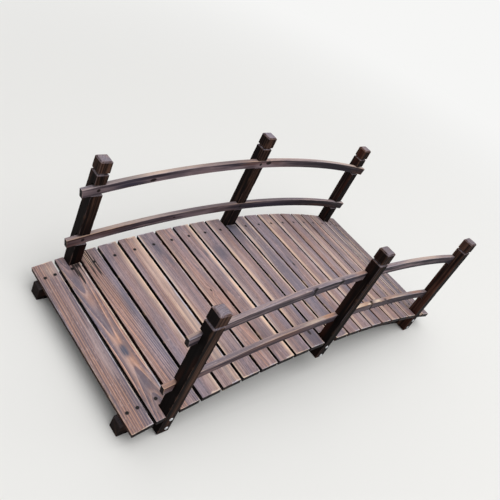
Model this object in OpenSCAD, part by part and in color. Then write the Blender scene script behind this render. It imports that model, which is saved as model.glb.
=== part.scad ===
// Moon bridge: a small arched garden footbridge in timber.
// X runs along the walk, Y runs to the far side, Z is up, and z = 0 is the ground under the stringers' feet.

/* [Deck] */
// Radius of the arc that the top of the deck follows
deck_radius = 2816; // [2300:1:3600]
// Length of a deck board, across the bridge
board_length = 635; // [480:1:900]
// Width of a deck board, along the walk
board_width = 65.5; // [58:0.5:80]
// Thickness of a deck board
board_thickness = 18; // [14:0.5:28]
// Open gap between two deck boards
board_gap = 8; // [4:0.5:12]
// Width of the short board between the middle posts
middle_board_width = 49; // [45:0.5:70]
// Eased corner on the long edges of a board
board_ease = 1.5; // [0.5:0.1:3]
// Boards on each side of the middle one
boards_per_side = 10; // [8:1:12]
// Place, counted from each end, of the board that is notched round the end posts
notched_board = 2; // [2:1:3]

/* [Stringers] */
// Thickness of a stringer
stringer_thickness = 40; // [30:1:60]
// Depth of a stringer, square to its arc
stringer_depth = 72; // [60:1:100]
// Height of a stringer's end face, from the ground up
stringer_end_height = 43; // [28:1:55]
// Length of a stringer past the last board
stringer_past_deck = 5; // [0:0.5:30]

/* [Posts] */
// Side of the square section of a post
post_size = 40; // [34:1:42]
// Height of a post's top over the top of the upper rail
post_over_rail = 95; // [60:1:160]
// Chamfer round the flat top of a post
post_chamfer = 4; // [2:0.5:12]
// Height from the V-groove's upper lip to the top of a post
post_head = 41; // [22:1:50]
// Width of the V-groove round a post
groove_width = 8; // [6:0.5:18]
// Depth of the V-groove round a post
groove_depth = 5; // [2:0.5:8]
// Eased corner on the upright edges of a post
post_ease = 1.5; // [0.5:0.1:3]
// Distance from a post's foot up to the underside of its stringer
post_foot_short = 2; // [0.5:0.5:10]

/* [Rails] */
// Radius of the arc that the top of a rail follows
rail_radius = 3200; // [2600:1:4200]
// Height of the upper rail's top over the deck, at mid-span
upper_rail_height = 297; // [230:1:420]
// Height of the lower rail's top over the deck, at mid-span
lower_rail_height = 105; // [85:1:170]
// Height of a rail's section
rail_depth = 31; // [22:0.5:45]
// Thickness of a rail's section
rail_thickness = 15.5; // [12:0.5:20]
// Eased corner on the edges of a rail
rail_ease = 2; // [0.5:0.1:4]
// Length of a rail past the outer face of an end post
rail_past_post = 31; // [15:1:80]

/* [Fits] */
// Space under a board, over the stringer's top
seat_clearance = 0.3; // [0:0.05:0.4]
// Space between a post and the boards beside it
post_clearance = 2; // [1:0.5:5]
// Space between each end of the middle board and its post
butt_clearance = 1; // [0.5:0.5:3]
// Height that a housing has to spare over and under the rail in it
housing_clearance = 0.5; // [0.2:0.1:3]

/* [Hidden] */
$fn = 720;
deck_color = "rosybrown";
frame_color = [0.25, 0.2, 0.18];
rail_color = [0.5, 0.42, 0.4];

function arc_rise(radius, x) = sqrt(radius * radius - x * x);
function arc_angle(length, radius) = length / radius * 180 / PI;

// Distances along the deck's arc, from mid-span
board_pitch = board_width + board_gap;
function board_inner(place) = middle_board_width / 2 + (place - 1) * board_pitch + board_gap;
function board_middle(place) = board_inner(place) + board_width / 2;
deck_end = board_inner(boards_per_side) + board_width;
deck_end_x = deck_radius * sin(arc_angle(deck_end, deck_radius));

// Heights of the arcs: the ground lies under the stringers' sawn feet
stringer_top_radius = deck_radius - board_thickness - seat_clearance;
stringer_under_radius = stringer_top_radius - stringer_depth;
stringer_end_x = deck_end_x + stringer_past_deck;
arc_center_z = stringer_end_height - arc_rise(stringer_top_radius, stringer_end_x);
deck_apex_z = arc_center_z + deck_radius;
function deck_top_z(x) = arc_center_z + arc_rise(deck_radius, x);
function stringer_under_z(x) = max(0, arc_center_z + arc_rise(stringer_under_radius, x));

// Places across the bridge
post_outer_y = board_length / 2;
post_inner_y = post_outer_y - post_size;

// The end posts stand in the notched board, close behind the next board inwards
notched_place = boards_per_side + 1 - notched_board;
next_board_edge = board_inner(notched_place) - board_gap;
next_board_edge_x = deck_radius * sin(arc_angle(next_board_edge, deck_radius));
end_post_x = next_board_edge_x + post_clearance + post_size / 2;

// Rails
rail_end_x = end_post_x + post_size / 2 + rail_past_post;
function rail_top_z(height, x) = deck_apex_z + height + arc_rise(rail_radius, x) - rail_radius;
function rail_under_z(height, x) = deck_apex_z + height - rail_radius + arc_rise(rail_radius - rail_depth, x);

function two_digits(number) = str(number < 10 ? "0" : "", number);
board_total = 2 * boards_per_side + 1;
board_names = [for (number = [1:board_total]) str("deck_board_", two_digits(number))];

// A polygon with its four corners cut at 45 degrees, centred on the origin
module eased_rectangle(width, height, ease) {
    half_w = width / 2;
    half_h = height / 2;
    polygon([
        [-half_w + ease, -half_h], [half_w - ease, -half_h],
        [half_w, -half_h + ease], [half_w, half_h - ease],
        [half_w - ease, half_h], [-half_w + ease, half_h],
        [-half_w, half_h - ease], [-half_w, -half_h + ease]
    ]);
}

// A straight board, tangent to the deck's arc at a signed distance from mid-span
module plank(distance, width, length) {
    translate([0, 0, arc_center_z])
        rotate([0, arc_angle(distance, deck_radius), 0])
            translate([0, 0, deck_radius - board_thickness / 2])
                rotate([90, 0, 0])
                    linear_extrude(length, center = true)
                        eased_rectangle(width, board_thickness, board_ease);
}

// The space that a post takes up at a corner of the notched board, on one side and at one end
module post_notch(side_x, side_y) {
    width = post_size + 2 * post_clearance;
    depth = post_size + post_clearance;
    translate([side_x * end_post_x, side_y * (post_inner_y + depth / 2 - post_clearance), deck_apex_z / 2])
        cube([width, depth + 2 * post_clearance, 2 * deck_apex_z], center = true);
}

module deck_board(number) {
    offset_place = number - boards_per_side - 1;
    place = abs(offset_place);
    side = sign(offset_place);
    color(deck_color)
    if (place == 0) {
        plank(0, middle_board_width, 2 * (post_inner_y - butt_clearance));
    } else if (place == notched_place) {
        difference() {
            plank(side * board_middle(place), board_width, board_length);
            post_notch(side, 1);
            post_notch(side, -1);
        }
    } else {
        plank(side * board_middle(place), board_width, board_length);
    }
}

// One curved stringer, sawn upright at its ends and level where it stands on the ground
module stringer(side_y) {
    color(frame_color)
    translate([0, side_y * (post_inner_y - stringer_thickness / 2), 0])
        rotate([90, 0, 0])
            linear_extrude(stringer_thickness, center = true)
                difference() {
                    intersection() {
                        translate([0, arc_center_z]) circle(stringer_top_radius);
                        translate([-stringer_end_x, 0]) square([2 * stringer_end_x, deck_apex_z]);
                    }
                    translate([0, arc_center_z]) circle(stringer_under_radius);
                }
}

// Side profile of a post: chamfered top and V-groove, drawn from foot to top
module post_profile(foot_z, top_z) {
    half = post_size / 2;
    lip_z = top_z - post_head;
    polygon([
        [-half, foot_z], [half, foot_z],
        [half, lip_z - groove_width], [half - groove_depth, lip_z - groove_width / 2], [half, lip_z],
        [half, top_z - post_chamfer], [half - post_chamfer, top_z],
        [-half + post_chamfer, top_z], [-half, top_z - post_chamfer],
        [-half, lip_z], [-half + groove_depth, lip_z - groove_width / 2], [-half, lip_z - groove_width]
    ]);
}

// The square housing that one rail needs in a post, cut from the inner face as deep as the rail is thick
module rail_housing(x, height) {
    uphill_x = max(0, x - post_size / 2);
    downhill_x = x + post_size / 2;
    low_z = rail_under_z(height, downhill_x) - housing_clearance;
    high_z = rail_top_z(height, uphill_x) + housing_clearance;
    translate([-post_size, -post_size, low_z])
        cube([2 * post_size, post_size / 2 + rail_thickness, high_z - low_z]);
}

module post(place_x, side_y) {
    x = abs(place_x);
    foot_z = max(stringer_under_z(x), 0) + post_foot_short;
    top_z = deck_top_z(x) + upper_rail_height + post_over_rail;
    color(frame_color)
    translate([place_x, side_y * (post_inner_y + post_size / 2), 0])
        mirror([0, side_y > 0 ? 0 : 1, 0])
            difference() {
                intersection() {
                    rotate([90, 0, 0])
                        linear_extrude(2 * post_size, center = true) post_profile(foot_z, top_z);
                    rotate([90, 0, 90])
                        linear_extrude(2 * post_size, center = true) post_profile(foot_z, top_z);
                    linear_extrude(2 * top_z) eased_rectangle(post_size, post_size, post_ease);
                }
                rail_housing(x, upper_rail_height);
                rail_housing(x, lower_rail_height);
            }
}

// One curved rail, its inner face flush with the posts' inner faces and its ends cut square to it
module rail(height, side_y) {
    middle_radius = rail_radius - rail_depth / 2;
    half_angle = asin(rail_end_x / middle_radius);
    color(rail_color)
    translate([0, side_y * (post_inner_y + rail_thickness / 2), deck_apex_z + height - rail_radius])
        rotate([90, 0, 0])
            rotate([0, 0, 90 - half_angle])
                rotate_extrude(angle = 2 * half_angle)
                    translate([middle_radius, 0]) eased_rectangle(rail_depth, rail_thickness, rail_ease);
}

stringer(-1);  // stringer_near
stringer(1);  // stringer_far
post(-end_post_x, -1);  // post_near_left
post(0, -1);  // post_near_middle
post(end_post_x, -1);  // post_near_right
post(-end_post_x, 1);  // post_far_left
post(0, 1);  // post_far_middle
post(end_post_x, 1);  // post_far_right
rail(upper_rail_height, -1);  // rail_upper_near
rail(lower_rail_height, -1);  // rail_lower_near
rail(upper_rail_height, 1);  // rail_upper_far
rail(lower_rail_height, 1);  // rail_lower_far
for (number = [1:board_total])
    deck_board(number);
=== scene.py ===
import math
from contextlib import contextmanager

import bmesh
import bpy
import numpy as np
from mathutils import Matrix, Vector


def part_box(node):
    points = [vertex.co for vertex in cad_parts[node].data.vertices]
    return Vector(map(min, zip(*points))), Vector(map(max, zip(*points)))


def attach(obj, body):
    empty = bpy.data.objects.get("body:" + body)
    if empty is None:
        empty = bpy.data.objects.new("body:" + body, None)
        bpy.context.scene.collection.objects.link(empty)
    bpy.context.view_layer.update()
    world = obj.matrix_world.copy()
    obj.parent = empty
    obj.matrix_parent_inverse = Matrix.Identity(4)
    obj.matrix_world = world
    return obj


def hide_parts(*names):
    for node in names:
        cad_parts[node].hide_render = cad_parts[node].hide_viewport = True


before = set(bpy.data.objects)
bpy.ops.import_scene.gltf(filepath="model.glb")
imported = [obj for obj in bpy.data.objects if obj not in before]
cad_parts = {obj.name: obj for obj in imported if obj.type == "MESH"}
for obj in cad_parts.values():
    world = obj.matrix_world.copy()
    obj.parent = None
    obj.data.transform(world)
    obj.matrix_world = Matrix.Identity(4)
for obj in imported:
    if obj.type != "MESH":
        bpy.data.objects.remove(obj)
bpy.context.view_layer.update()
print("moon bridge: frame loaded,", len(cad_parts), "pieces")

# All sizes are in metres. Colours are written as they look on a screen, 0 to 255.

view = {
    "place": (-1.52955, -0.89676, 1.39289),
    "right": (0.7137, -0.578, 0.3957),
    "up": (0.13645, 0.66885, 0.73087),
    "back": (-0.6871, -0.4676, 0.5562),
    "lens": 43.19,
    "film": 36,
    "clip": (0.05, 100),
}

studio = {
    "sky strength": 0.5,
    "sky color": (0.98, 0.99, 1, 1),
    "softbox size": 9,
    "softbox place": (0.8, -1.6, 7),
    "softbox power": 430,
    "softbox aim": (0, 0, 0.2),
    "floor color": (236, 235, 232),
    "floor roughness": 0.85,
    "floor gloss": 0.2,
    "background color": (246, 246, 245),
    "floor side": 40,
    "white from": (1.2, 4.5),    # the floor turns into the background between these distances
}

# Boards: worn corners, cupping, and how far the surface dips
deck = {
    "count": 21,
    "short board": 11,
    "arris": 0.0017,
    "walked arris": 0.0024,
    "end round": 0.0011,
    "cupping": 0.0004,
    "ripple": 0.00022,
    "step along": 0.006,
    "step across": 0.0034,
    "notch wide": 0.044,
    "notch from middle": 0.2755,
    "near screws": 0.256,
    "near screws behind rail": (0.251, 0.2415),
    "boards behind rail": (3, 18, 19),    # the first, the one that the change is done at, and the last
    "far screws": 0.26,
    "end board screws": (-0.0133, 0.0177),
    "screw hole": 0.0043,
    "screw hole depth": 0.0014,
    "cutter over top": 0.0012,
    "screw sunk": 0.0009,
    # Painted light: the left side faces of the boards towards the right end are painted lighter
    "lit left sides": 3,
    "lit-side boards": (10, 14),    # none before the first, all from the second on
}

# What sets single boards apart: where the heart of the tree lay, ring spacing, tint, wear and painted light.
# pith and lean are (across, depth), light is (middle, change to the far end, change to the right edge), whose
# fall to the far end and on the last boards is partly painted shade, warm is (middle, change to the right
# edge) and wear is (left, right) arris, worn pale and partly painted sheen. Rings with a minus sign have
# their dark line on the pith's side. blue, cream, amber, dark, rub and checks are marks: (across, along,
# half width, half length, amount), and where a mark lies on part of the depth, the middle and half height of
# that part.
plainBoard = dict(pith=(0.06, -0.05), lean=(0.006, 0.004), bow=0, rings=0.005, light=(1, 0, 0), warm=(0, 0),
                  figure=0.45, wear=(0.15, 0.5), wander=1, dive=(0, 0))
boardLooks = {
    1: dict(pith=(0.075, -0.02), lean=(0.02, 0), rings=0.0068, light=(0.92, 0.02, -0.05), warm=(0.35, -1),
            figure=0.9, wear=(0.25, 0.6), wander=0.6, blue=((0.024, 0, 0.01, 0.45, 0.4),),
            cream=((0.012, 0.285, 0.02, 0.03, 0.35),)),
    2: dict(pith=(-0.0045, -0.0242), lean=(-0.024, 0.0223), bow=0.139, rings=-0.008, dive=(-0.13, 0.4),
            light=(1.04, -0.08, 0), warm=(0.25, 0), figure=1.25, wear=(0.2, 0.9), wander=0.2,
            blue=((-0.0095, 0.215, 0.009, 0.05, 0.8), (-0.0055, 0.045, 0.007, 0.055, 0.8),
            (-0.001, -0.08, 0.011, 0.026, 1.5), (0.001, -0.205, 0.013, 0.045, 0.7)),
            amber=((-0.006, 0.125, 0.008, 0.025, 0.5), (-0.003, -0.04, 0.01, 0.022, 0.5),
            # The dark marks at board 2's far end are painted shadow of the far-left post, with a dark smear
            (0, -0.122, 0.012, 0.018, 0.5)), dark=((0.018, 0.268, 0.015, 0.02, 0.9),
            (0.012, 0.245, 0.008, 0.03, 0.6)), checks=((0.017, 0.25, 0.017, 0.06, 1),)),
    3: dict(pith=(0.085, -0.03), lean=(-0.05, 0), rings=0.006, light=(1.04, -0.08, -0.07), warm=(0.25, -1.6),
            figure=1, wear=(0.2, 0.4), wander=0.6, blue=((0.017, 0.07, 0.012, 0.065, 0.9),
            (0.024, -0.02, 0.008, 0.2, 0.4)), cream=((-0.012, 0.285, 0.01, 0.04, 0.6),),
            amber=((-0.003, 0.07, 0.006, 0.07, 0.5),), dark=((-0.028, 0.285, 0.005, 0.03, 0.6),),
            checks=((-0.01, 0.262, 0.018, 0.07, 1),)),
    4: dict(pith=(0.09, -0.1), rings=0.0046, light=(1.02, -0.07, 0), warm=(0, 0.2), figure=0.3, wear=(0.1, 1),
            cream=((0.031, -0.05, 0.013, 0.6, 0.8),)),
    5: dict(pith=(-0.075, -0.04), lean=(0.03, 0), rings=0.0058, light=(1.07, 0, 0), warm=(0.25, 0.3),
            figure=0.5, wear=(0.1, 1), blue=((-0.014, 0, 0.008, 0.4, 0.3),),
            cream=((0.004, -0.05, 0.006, 0.3, 0.75), (0.022, -0.05, 0.01, 0.5, 0.65))),
    6: dict(pith=(-0.06, -0.05), rings=0.0048, light=(0.96, 0, 0), warm=(-0.1, -0.25), wear=(0.8, 0.6),
            blue=((0.004, 0.235, 0.013, 0.04, 1), (0.016, 0.18, 0.008, 0.03, 0.8)),
            cream=((-0.033, 0.1, 0.008, 0.5, 0.9),)),
    7: dict(pith=(0.02, -0.045), lean=(0, 0.02), rings=0.0046, light=(1.12, 0, 0), warm=(0.7, -0.2),
            figure=0.5, wear=(0.2, 0.5), knot=(0, 0.01, 0.0032), cream=((-0.03, 0.05, 0.008, 0.3, 0.35),
            (0.029, 0.15, 0.005, 0.15, 0.4))),
    8: dict(pith=(-0.02, -0.05), lean=(0, -0.016), rings=0.005, light=(0.97, -0.07, 0), warm=(0, 0.1),
            wear=(0.15, 1), blue=((0.012, 0.165, 0.006, 0.018, 1), (-0.01, -0.22, 0.02, 0.05, 0.4)),
            cream=((0.027, -0.05, 0.009, 0.45, 1),)),
    9: dict(pith=(0.05, -0.03), rings=0.0046, light=(0.97, -0.1, 0), warm=(-0.15, -0.1), wear=(0.6, 0.3),
            blue=((0.004, 0.155, 0.03, 0.035, 1),), cream=((-0.031, -0.05, 0.0065, 0.4, 0.85),)),
    10: dict(pith=(-0.05, -0.05), rings=0.0044, light=(0.94, -0.04, 0), warm=(0, -0.5), wear=(0.5, 0.4),
             knot=(0.006, -0.262, 0.006), blue=((0, -0.265, 0.028, 0.045, 1),),
             cream=((-0.029, 0.05, 0.009, 0.35, 0.8),)),
    # Board 11's dark mark at its far end is painted shadow of the far-middle post
    11: dict(pith=(0.03, -0.03), lean=(0, 0.02), rings=0.0046, warm=(-0.45, 0.1), light=(0.94, -0.2, 0),
             wear=(0.2, 0.9), blue=((0, 0.27, 0.035, 0.08, 1),), cream=((0.022, 0.02, 0.005, 0.25, 0.9),),
             dark=((0, 0.272, 0.03, 0.018, 0.6),)),
    12: dict(pith=(-0.06, -0.03), rings=0.0048, warm=(-0.75, -0.1), wear=(0.5, 0.8), light=(0.86, -0.15, 0),
             blue=((0, 0.06, 0.03, 0.13, 0.45),), cream=((-0.026, 0.22, 0.01, 0.14, 0.75),
             (0.03, 0.23, 0.008, 0.12, 0.9))),
    13: dict(pith=(0.01, -0.04), lean=(0, 0.02), rings=0.0048, warm=(0, 0.25), wear=(0.15, 0.5),
             light=(0.99, 0, 0), knot=(-0.004, 0.03, 0.005), blue=((-0.004, 0.04, 0.006, 0.05, 0.9),),
             cream=((0.03, -0.02, 0.005, 0.1, 0.4),), dark=((-0.005, 0.045, 0.003, 0.03, 0.5),)),
    14: dict(pith=(0.06, -0.04), rings=0.0044, warm=(0.35, -0.3), wear=(0.5, 0.4), light=(1.07, 0, 0),
             blue=((0.022, 0.1, 0.006, 0.012, 0.7), (0.014, -0.05, 0.01, 0.02, 0.5)),
             cream=((-0.025, 0, 0.0075, 0.6, 0.8), (0, 0.26, 0.022, 0.03, 0.4))),
    15: dict(pith=(-0.03, -0.06), rings=0.0048, warm=(0, -0.5), wear=(0.5, 0.3), light=(0.86, 0, 0),
             blue=((0, -0.05, 0.01, 0.05, 0.5),), cream=((-0.024, 0.05, 0.0075, 0.5, 0.75),)),
    16: dict(pith=(0.04, -0.05), rings=0.0044, warm=(0.35, 0), wear=(0.2, 0.5), light=(0.98, 0, 0),
             blue=((-0.01, -0.2, 0.01, 0.04, 0.6),), dark=((-0.028, 0.2, 0.006, 0.1, 0.4),)),
    17: dict(pith=(-0.05, -0.04), rings=0.005, warm=(0.6, 0.1), wear=(0.5, 0.5), light=(0.93, -0.17, 0),
             blue=((0.004, 0.24, 0.009, 0.03, 0.7),), cream=((-0.018, 0, 0.009, 0.45, 0.7),)),
    18: dict(pith=(0.02, -0.04), lean=(0, -0.018), rings=0.005, warm=(0.2, 0.4), wear=(0.2, 0.5),
             light=(0.87, -0.13, 0.04), cream=((0.026, -0.05, 0.007, 0.3, 0.4),)),
    19: dict(pith=(0.07, -0.03), rings=0.0046, warm=(0.5, -0.5), wear=(0.6, 0.5), light=(0.87, -0.09, -0.05),
             blue=((0.01, -0.24, 0.016, 0.04, 0.9), (0.006, 0.18, 0.018, 0.08, 0.5)),
             cream=((-0.012, 0.1, 0.01, 0.3, 0.4),)),
    # Boards 20 and 21 are darker overall, partly painted shade at the right end of the walk
    20: dict(pith=(-0.03, -0.035), rings=0.0052, warm=(-0.2, 0), wear=(0.6, 0.6), light=(0.61, -0.08, 0),
             blue=((0.008, -0.14, 0.018, 0.1, 0.9), (0.004, 0.19, 0.02, 0.06, 0.7)),
             cream=((-0.006, 0, 0.007, 0.22, 0.45), (0.01, 0.09, 0.007, 0.07, 0.6)),
             dark=((0.004, -0.08, 0.026, 0.24, 0.22),)),
    21: dict(pith=(0.07, -0.03), rings=0.0056, warm=(0.1, 0), wear=(0.3, 0.3), light=(0.55, -0.06, 0),
             figure=0.7),
}

# The CAD's own driving sizes that the turned pieces need again
arch = {
    "deck radius": 2.816,
    "stringer top radius": 2.7977,
    "stringer depth": 0.072,
    "stringer center z": -2.65081,
    "rail radius": 3.2,
    "rail depth": 0.031,
    "rail end": 0.68068,
}

stringers = {
    "arris": 0.0016,
    "end round": 0.001,
    "ripple": 0.0003,
    "step along": 0.01,
    "step round": 0.006,
    "grain middle": 0.12,    # its height over the ground
}

posts = {
    "side": 0.04,
    "arris": 0.0019,
    "head": 0.041,
    "groove wide": 0.008,
    "groove deep": 0.005,
    "chamfer": 0.004,
    "lip round": 0.0006,
    "step along": 0.006,
    "step round": 0.0034,
    "ripple": 0.00025,
    "end round": 0.0006,
    "head wear": 0.0006,
    # Painted shadow of the lower rail on each post's inner face:
    "painted shadow under rail": (0, 0.012),    # none at the lower rail's underside, all so far below it
    "housing slack": 0.0005,
}

rails = {
    "arris": 0.0022,
    "station": 0.004,
    "wear": 0.00035,
    "rows on a face": 8,
    "face wider than": 0.008,
    "grain on bend": 0.88,    # 1 is grain that follows the bend all the way
    "grain depth": 0.045,
}

fixings = {
    "bolt head radius": 0.0062,
    "bolt head high": 0.0026,
    "bolts": (0, 0.036, 0.079),    # off the post's middle along the walk, then how far under the deck
    "washer radius": 0.0085,
    "nut radius": 0.0066,
    "screw head radius": 0.0036,
    "cross wide": 0.0008,
}

# Chips out of the corners: widths with the share of each, the spread round a width, and depths
chips = {
    "wide": (0.0025, 0.005, 0.012),
    "shares": (0.45, 0.4, 0.15),
    "spread": (0.7, 1.5),
    "deep": (0.0005, 0.0018),
    "bare from": 0.0012,
}

sharpAngle = 38    # faces that meet at more degrees than this keep a crisp edge
farOff = 5.0    # stands for the way to a screw, knot or edge that isn't there
noScrews = (farOff, farOff, farOff)
noKnots = (farOff, farOff, 0.005)


def screenColor(*color):
    shares = [value / 255 for value in color]
    return (*(s / 12.92 if s <= 0.04045 else ((s + 0.055) / 1.055) ** 2.4 for s in shares), 1)


# Smooth noise from a seeded grid: one value from -1 to 1 for each pair of coordinates
def softNoise(seed, first, second):
    grid = np.random.RandomState(seed).uniform(-1, 1, (64, 64))
    first, second = np.broadcast_arrays(first, second)
    lowA, lowB = np.floor(first).astype(int), np.floor(second).astype(int)
    a, b = first - lowA, second - lowB
    a, b = a * a * (3 - 2 * a), b * b * (3 - 2 * b)
    lowA, lowB = lowA % 64, lowB % 64
    highA, highB = (lowA + 1) % 64, (lowB + 1) % 64
    near = grid[lowA, lowB] * (1 - a) + grid[highA, lowB] * a
    far = grid[lowA, highB] * (1 - a) + grid[highA, highB] * a
    return near * (1 - b) + far * b


def softStep(value, low, high):
    share = np.clip((value - low) / (high - low), 0, 1)
    return share * share * (3 - 2 * share)


# Puts numbers for every vertex side by side, as the coordinates of vectors
def together(*values):
    return np.stack(np.broadcast_arrays(*values), -1)


def boxOf(node):
    return [np.array(corner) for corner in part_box(node)]


def newPiece(name, data=None):
    piece = bpy.data.objects.new(name, data or bpy.data.meshes.new(name))
    bpy.context.scene.collection.objects.link(piece)
    return piece


def dropPiece(piece):
    mesh = piece.data
    bpy.data.objects.remove(piece)
    bpy.data.meshes.remove(mesh)


# Opens a mesh for changes and puts them back into it
@contextmanager
def opened(mesh):
    shell = bmesh.new()
    shell.from_mesh(mesh)
    yield shell
    shell.to_mesh(mesh)
    shell.free()


def faceOutwards(piece):
    with opened(piece.data) as shell:
        bmesh.ops.recalc_face_normals(shell, faces=shell.faces)


def pointsOf(piece):
    flat = np.zeros(len(piece.data.vertices) * 3, np.float32)
    piece.data.vertices.foreach_get("co", flat)
    return flat.reshape(-1, 3).astype(float)


# Writes one number or one vector for every vertex
def writeLayer(piece, name, values):
    mesh = piece.data
    values = np.asarray(values, np.float32)
    vector = values.shape[-1:] == (3,)
    kind = "FLOAT_VECTOR" if vector else "FLOAT"
    layer = mesh.attributes.get(name) or mesh.attributes.new(name, kind, "POINT")
    values = np.broadcast_to(values, (len(mesh.vertices), 3) if vector else len(mesh.vertices))
    layer.data.foreach_set("vector" if vector else "value", np.ascontiguousarray(values).ravel())


# Turns a piece with modifiers into a plain mesh
def settle(piece):
    bpy.context.view_layer.update()
    graph = bpy.context.evaluated_depsgraph_get()
    mesh = bpy.data.meshes.new_from_object(piece.evaluated_get(graph), preserve_all_data_layers=True,
                                           depsgraph=graph)
    piece.modifiers.clear()
    old = piece.data
    piece.data = mesh
    mesh.name = piece.name
    bpy.data.meshes.remove(old)


# Stations along a stick, close together at the rounded ends: places, and what the section is drawn in there
def stationsFor(low, high, step, round, extra=()):
    steps = max(2, int(np.ceil((high - low - 2 * round) / step)))
    spaced = np.linspace(low + round, high - round, steps + 1)
    inner = sorted(set(np.round(np.concatenate([spaced, extra]), 7)))
    turns = np.radians([25, 50, 75, 90])
    places = [high - round + round * math.sin(t) for t in turns]
    drawn = [round * (1 - math.cos(t)) for t in turns]
    place = [low + high - p for p in reversed(places)] + inner + places
    inset = list(reversed(drawn)) + [0] * len(inner) + drawn
    cap = round + 0.0012
    return np.array([low] + place + [high]), np.array([cap] + inset + [cap])


# Corner radii along a stick: a slow wobble, and here and there a chip or a strip of wane
def wornCorners(seed, along, radii, chipsEachMetre):
    rng = np.random.RandomState(seed)
    corners = np.zeros((len(along), 4))
    chipped = np.zeros((len(along), 4))
    low, high = along.min(), along.max()
    for corner in range(4):
        wobble = softNoise(seed + corner, along * 45, corner * 3.1) * 0.28
        wobble += softNoise(seed + corner + 9, along * 160, corner * 5.7) * 0.12
        corners[:, corner] = radii[corner] * (1 + wobble)
        for _ in range(rng.poisson(chipsEachMetre * (high - low))):
            middle = rng.uniform(low, high)
            width = rng.choice(chips["wide"], p=chips["shares"]) * rng.uniform(*chips["spread"])
            deep = rng.uniform(*chips["deep"])
            bump = np.exp(-((along - middle) / width) ** 2)
            corners[:, corner] += deep * bump
            chipped[:, corner] = np.maximum(chipped[:, corner], bump * min(1, deep / chips["bare from"]))
    return corners, chipped


# A stick of timber lofted through rounded rectangles. Sections lie in (u, v), place() puts them in the frame.
def loftTimber(name, along, inset, halfWide, halfHigh, corners, chipped, steps, dip, place):
    arcSteps, wideSteps, highSteps = steps
    halfWide, halfHigh = halfWide - inset, halfHigh - inset
    radii = np.minimum(corners, 0.45 * np.minimum(halfWide, halfHigh)[:, None])
    radii = np.maximum(radii - 0.4 * inset[:, None], 0.0004)
    columns, facings, bareness = [], [], []

    def onCorner(corner, turn):
        signU, signV = ((1, 1), (-1, 1), (-1, -1), (1, -1))[corner]
        r = radii[:, corner]
        return together(signU * (halfWide - r) + r * math.cos(turn),
                        signV * (halfHigh - r) + r * math.sin(turn))

    def keep(column, turn, bare):
        columns.append(column)
        facings.append((math.cos(turn), math.sin(turn)))
        bareness.append(bare)

    for corner in range(4):
        for k in range(arcSteps + 1):
            turn = math.pi / 2 * (corner + k / arcSteps)
            keep(onCorner(corner, turn), turn, chipped[:, corner])
        start, end = columns[-1], onCorner((corner + 1) % 4, turn)
        between = highSteps if corner % 2 else wideSteps
        for k in range(1, between):
            keep(start + (end - start) * k / between, turn, np.zeros(len(along)))
    section, facings = np.stack(columns, 1), np.array(facings)
    section = section - facings[None] * dip(section, along[:, None], facings)[:, :, None]
    points = place(section[:, :, 0], section[:, :, 1], along[:, None])
    index = np.arange(points[:, :, 0].size).reshape(section.shape[:2])
    right = np.roll(index, -1, axis=1)
    quads = np.stack([index[:-1], right[:-1], right[1:], index[1:]], 2).reshape(-1, 4)
    piece = newPiece(name)
    piece.data.from_pydata(points.reshape(-1, 3).tolist(), [],
                           quads.tolist() + [index[0][::-1].tolist(), index[-1].tolist()])
    writeLayer(piece, "bare", np.stack(bareness, 1).ravel())
    faceOutwards(piece)
    return piece


# Cuts boxes and cones out of a piece, all at once
def cutAway(piece, cutters):
    tool = newPiece("cutters")
    with opened(tool.data) as shell:
        for cutter in cutters:
            if "box" in cutter:
                low, high = (Vector(corner) for corner in cutter["box"])
                made = bmesh.ops.create_cube(shell, size=1)
                middle, turned = (low + high) / 2, Matrix.Diagonal((*(high - low), 1))
            else:
                made = bmesh.ops.create_cone(shell, cap_ends=True, segments=20, radius1=cutter["bottom"],
                                             radius2=cutter["top"], depth=cutter["high"])
                middle = Vector(cutter["middle"])
                turned = Vector((0, 0, 1)).rotation_difference(Vector(cutter["axis"])).to_matrix().to_4x4()
            bmesh.ops.transform(shell, matrix=Matrix.Translation(middle) @ turned, verts=made["verts"])
    change = piece.modifiers.new("cut", "BOOLEAN")
    change.operation = "DIFFERENCE"
    change.solver = "EXACT"
    change.object = tool
    settle(piece)
    dropPiece(tool)


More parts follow.
